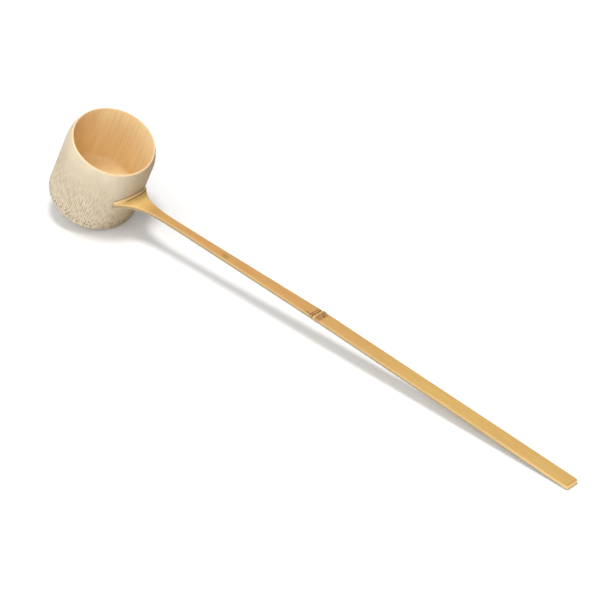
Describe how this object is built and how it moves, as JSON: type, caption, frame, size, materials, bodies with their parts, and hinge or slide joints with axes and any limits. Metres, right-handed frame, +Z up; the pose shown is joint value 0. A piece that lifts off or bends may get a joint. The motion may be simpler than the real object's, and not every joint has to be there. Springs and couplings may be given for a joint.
{
  "type": "bamboo water dipper",
  "caption": "Bamboo water dipper: a tall round cup with a bevelled mouth and a long flat handle that flares into a crescent on the cup's wall.",
  "frame": {"origin": "middle of the dipper's whole length and width, at the level of the table that it rests on", "axes": "+X along the handle from the cup to the tip, +Z up, +Y across; the XZ plane is the plane of symmetry. The dipper lies as it rests on a table, with the cup leaning 23 degrees towards the handle"},
  "size_m": [0.4234, 0.057, 0.0712],
  "materials": {
    "scraped_bamboo": "scraped bamboo, matt, fine upright fibres",
    "skin_bamboo": "planed bamboo with its skin side up, satin",
    "peg_bamboo": "split bamboo, matt"
  },
  "bodies": {
    "root": {"cup": "scraped_bamboo", "handle": "skin_bamboo", "locking_peg": "peg_bamboo"}
  },
  "joints": []
}
